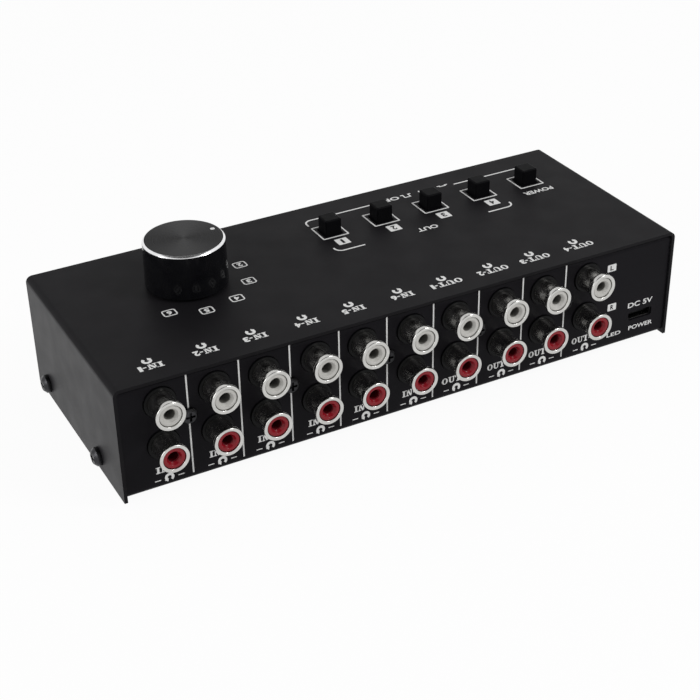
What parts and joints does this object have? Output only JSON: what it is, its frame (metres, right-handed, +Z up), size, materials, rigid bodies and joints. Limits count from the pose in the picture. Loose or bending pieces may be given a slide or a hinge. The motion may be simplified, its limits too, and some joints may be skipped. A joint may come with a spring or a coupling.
{
  "type": "audio selector switch",
  "caption": "Flat black metal audio source and output selector with a large turning knob, square push buttons and two rows of phono jacks on its rear panel.",
  "frame": {"origin": "on the surface the feet stand on, under the middle of the bounding box", "axes": "+X to the right of someone at the front, along the case; +Y towards the jacks at the rear; +Z up"},
  "size_m": [0.1872, 0.0796, 0.0527],
  "materials": {
    "painted_steel": "satin black powder coat",
    "black_steel": "black oxide",
    "rubber": "matt",
    "board": "green solder mask",
    "brass_spacer": "turned",
    "zinc_steel": "zinc plated",
    "black_plastic": "moulded",
    "nickel": "bright nickel plate",
    "white_plastic": "moulded",
    "red_plastic": "moulded",
    "contact_metal": "tinned",
    "led_lens": "diffused lens",
    "relay_case": "moulded",
    "anodised_aluminium": "black anodised, spun top",
    "nylon": "moulded",
    "cap_plastic": "fine matt",
    "spring_steel": "drawn wire"
  },
  "bodies": {
    "case": {"top_cover": "painted_steel", "base_chassis": "painted_steel", "end_screws": "black_steel", "rubber_feet": "rubber", "main_board": "board", "control_board": "board", "base_spacers": "brass_spacer", "board_spacers": "brass_spacer", "board_screws": "zinc_steel", "white_inserts": "white_plastic", "red_inserts": "red_plastic", "centre_contacts": "contact_metal", "block_screws": "black_steel", "power_inlet_shell": "nickel", "power_inlet_core": "black_plastic", "power_led": "led_lens", "led_leads": "contact_metal", "input_relays": "relay_case", "output_relays": "relay_case", "link_socket": "black_plastic", "link_header": "black_plastic", "link_pins": "contact_metal", "rotary_body": "black_plastic", "rotary_front_plate": "zinc_steel", "rotary_terminals": "contact_metal", "detent_spring": "spring_steel", "knob_washer": "zinc_steel", "knob_nut": "zinc_steel", "push_switch_bodies": "black_plastic", "push_switch_pins": "contact_metal", "jack_housing_1": "black_plastic", "jack_sleeves_1": "nickel", "jack_housing_2": "black_plastic", "jack_sleeves_2": "nickel", "jack_housing_3": "black_plastic", "jack_sleeves_3": "nickel", "jack_housing_4": "black_plastic", "jack_sleeves_4": "nickel", "jack_housing_5": "black_plastic", "jack_sleeves_5": "nickel", "return_spring_output_1": "spring_steel", "return_spring_output_2": "spring_steel", "return_spring_output_3": "spring_steel", "return_spring_output_4": "spring_steel", "return_spring_power": "spring_steel"},
    "dial": {"knob_shell": "anodised_aluminium", "knob_core": "black_plastic", "switch_shaft": "zinc_steel", "switch_rotor": "nylon", "rotor_wiper": "contact_metal"},
    "button_output_1": {"button_cap_output_1": "cap_plastic", "plunger_output_1": "nylon"},
    "button_output_2": {"button_cap_output_2": "cap_plastic", "plunger_output_2": "nylon"},
    "button_output_3": {"button_cap_output_3": "cap_plastic", "plunger_output_3": "nylon"},
    "button_output_4": {"button_cap_output_4": "cap_plastic", "plunger_output_4": "nylon"},
    "button_power": {"button_cap_power": "cap_plastic", "plunger_power": "nylon"}
  },
  "joints": [
    {"name": "dial_turn", "type": "hinge", "parent": "case", "child": "dial", "pos_m": [0.0513, -0.0128, 0.0381], "axis": [0, 0, 1], "range_deg": [-136, 34]},
    {"name": "press_output_1", "type": "slide", "parent": "case", "child": "button_output_1", "axis": [0, 0, -1], "range_m": [0, 0.0025], "stiffness_N_per_m": 400, "springref_m": -0.001, "deforming": ["return_spring_output_1"]},
    {"name": "press_output_2", "type": "slide", "parent": "case", "child": "button_output_2", "axis": [0, 0, -1], "range_m": [0, 0.0025], "stiffness_N_per_m": 400, "springref_m": -0.001, "deforming": ["return_spring_output_2"]},
    {"name": "press_output_3", "type": "slide", "parent": "case", "child": "button_output_3", "axis": [0, 0, -1], "range_m": [0, 0.0025], "stiffness_N_per_m": 400, "springref_m": -0.001, "deforming": ["return_spring_output_3"]},
    {"name": "press_output_4", "type": "slide", "parent": "case", "child": "button_output_4", "axis": [0, 0, -1], "range_m": [0, 0.0025], "stiffness_N_per_m": 400, "springref_m": -0.001, "deforming": ["return_spring_output_4"]},
    {"name": "press_power", "type": "slide", "parent": "case", "child": "button_power", "axis": [0, 0, -1], "range_m": [0, 0.0025], "stiffness_N_per_m": 400, "springref_m": -0.001, "deforming": ["return_spring_power"]}
  ]
}
